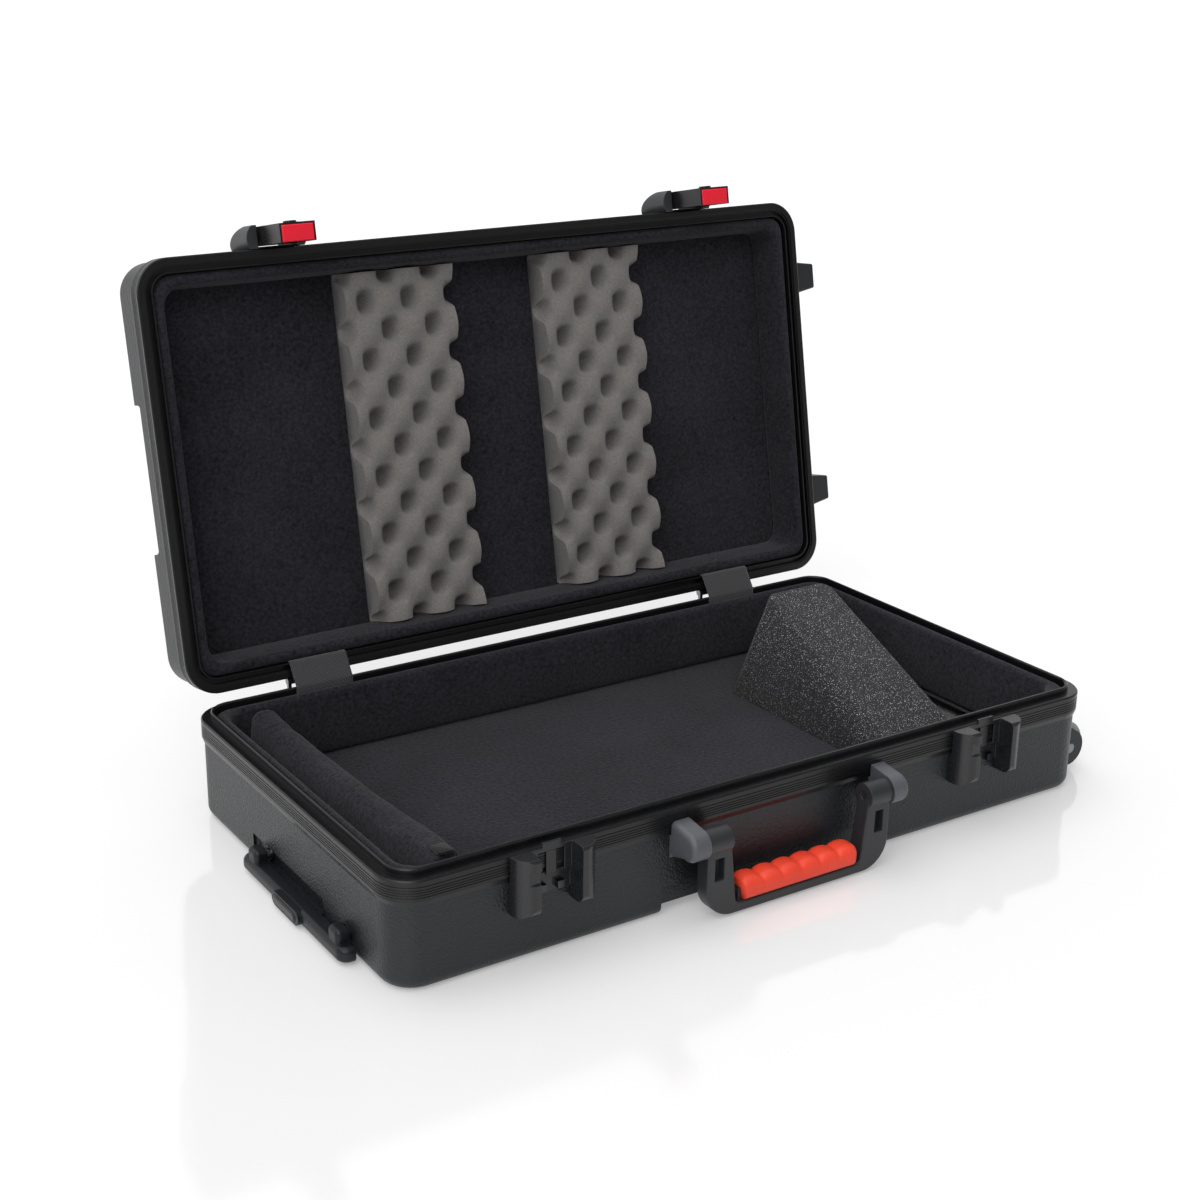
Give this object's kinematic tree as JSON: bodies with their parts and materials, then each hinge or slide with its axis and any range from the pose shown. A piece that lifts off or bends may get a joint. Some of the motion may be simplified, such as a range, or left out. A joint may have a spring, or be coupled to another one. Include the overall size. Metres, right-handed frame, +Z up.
{
  "type": "wheeled hard case",
  "caption": "Wheeled hard case with an open hinged lid, drop latches, a carry handle, a pull-out trolley handle and padded lining.",
  "frame": {"origin": "on the floor under the middle of the base's outline", "axes": "+X towards the wheels, -Y towards the latches and carry handle, +Z up"},
  "size_m": [0.7058, 0.4987, 0.4692],
  "materials": {
    "shell_black": "moulded, pebble grain",
    "rim_black": "black anodised, fine grooves",
    "plush_black": "short-pile plush",
    "foam_grey": "open-cell foam",
    "foam_charcoal": "open-cell foam",
    "flap_cloth": "woven cloth",
    "hook_tape": "hook tape",
    "latch_grey": "moulded satin",
    "lever_black": "moulded, slightly glossy",
    "button_red": "moulded, glossy",
    "handle_grey": "moulded satin",
    "grip_red": "soft-touch rubber",
    "steel": "plated",
    "tube_aluminium": "drawn tube",
    "tyre_grey": "matte",
    "wheel_grey": "moulded satin"
  },
  "bodies": {
    "base": {"base_shell": "shell_black", "base_rim": "rim_black", "base_wall_lining": "plush_black", "base_floor_pad": "plush_black", "divider_pad": "plush_black", "divider_hook_tape": "hook_tape", "foam_wedge": "foam_charcoal", "latch_catch_left": "latch_grey", "latch_catch_right": "latch_grey", "catch_posts": "steel", "handle_lug_left": "handle_grey", "handle_lug_right": "handle_grey", "handle_pins": "steel", "trolley_sleeves": "tube_aluminium", "trolley_bushes": "lever_black", "trolley_end_block": "handle_grey", "wheel_axles": "steel", "wheel_housing_front": "wheel_grey", "wheel_housing_rear": "wheel_grey", "hinge_base_leaves": "rim_black", "hinge_pins": "steel", "hinge_base_rivets": "steel", "hinge_flap_left": "flap_cloth", "hinge_flap_right": "flap_cloth"},
    "lid": {"lid_shell": "shell_black", "lid_rim": "rim_black", "lid_wall_lining": "plush_black", "lid_back_panel": "plush_black", "latch_pins": "steel", "lid_foot_front": "wheel_grey", "lid_foot_rear": "wheel_grey", "hinge_lid_leaves": "rim_black", "hinge_lid_rivets": "steel", "latch_mount_left": "latch_grey", "latch_mount_right": "latch_grey", "foam_strip_left": "foam_grey", "foam_strip_right": "foam_grey"},
    "carry_handle": {"handle_bail": "handle_grey", "handle_grip": "grip_red"},
    "trolley": {"trolley_bar": "handle_grey", "trolley_tubes": "tube_aluminium"},
    "trolley_release": {"trolley_button": "lever_black"},
    "wheel_front": {"wheel_hub_front": "wheel_grey", "wheel_tyre_front": "tyre_grey"},
    "wheel_rear": {"wheel_hub_rear": "wheel_grey", "wheel_tyre_rear": "tyre_grey"},
    "lever_left": {"latch_lever_left": "lever_black"},
    "release_left": {"latch_button_left": "button_red"},
    "lock_left": {"lock_plug_left": "lever_black"},
    "lever_right": {"latch_lever_right": "lever_black"},
    "release_right": {"latch_button_right": "button_red"},
    "lock_right": {"lock_plug_right": "lever_black"}
  },
  "joints": [
    {"name": "lid_hinge", "type": "hinge", "parent": "base", "child": "lid", "pos_m": [0, 0.1803, 0.0917], "axis": [1, 0, 0], "range_deg": [0, 100.7], "deforming": ["hinge_flap_left", "hinge_flap_right"]},
    {"name": "latch_lever_left", "type": "hinge", "parent": "lid", "child": "lever_left", "pos_m": [-0.206, 0.25665, 0.45107], "axis": [-1, 0, 0], "range_deg": [0, 100]},
    {"name": "latch_button_left", "type": "slide", "parent": "lever_left", "child": "release_left", "axis": [0, 0.9826, -0.1857], "range_m": [0, 0.003], "stiffness_N_per_m": 400, "springref_m": -0.002},
    {"name": "lock_plug_left", "type": "hinge", "parent": "lever_left", "child": "lock_left", "pos_m": [-0.206, 0.21683, 0.46653], "axis": [0, 0.1857, 0.9826], "range_deg": [0, 90]},
    {"name": "latch_lever_right", "type": "hinge", "parent": "lid", "child": "lever_right", "pos_m": [0.206, 0.25665, 0.45107], "axis": [-1, 0, 0], "range_deg": [0, 100]},
    {"name": "latch_button_right", "type": "slide", "parent": "lever_right", "child": "release_right", "axis": [0, 0.9826, -0.1857], "range_m": [0, 0.003], "stiffness_N_per_m": 400, "springref_m": -0.002},
    {"name": "lock_plug_right", "type": "hinge", "parent": "lever_right", "child": "lock_right", "pos_m": [0.206, 0.21683, 0.46653], "axis": [0, 0.1857, 0.9826], "range_deg": [0, 90]},
    {"name": "carry_handle", "type": "hinge", "parent": "base", "child": "carry_handle", "pos_m": [0, -0.195, 0.063], "axis": [-1, 0, 0], "range_deg": [-6, 95]},
    {"name": "trolley_slide", "type": "slide", "parent": "base", "child": "trolley", "axis": [-1, 0, 0], "range_m": [0, 0.34]},
    {"name": "trolley_button", "type": "slide", "parent": "trolley", "child": "trolley_release", "axis": [1, 0, 0], "range_m": [0, 0.0025], "stiffness_N_per_m": 500, "springref_m": -0.002},
    {"name": "wheel_front", "type": "hinge", "parent": "base", "child": "wheel_front", "pos_m": [0.338, -0.1355, 0.0225], "axis": [0, 1, 0], "continuous": true},
    {"name": "wheel_rear", "type": "hinge", "parent": "base", "child": "wheel_rear", "pos_m": [0.338, 0.1355, 0.0225], "axis": [0, 1, 0], "continuous": true}
  ]
}
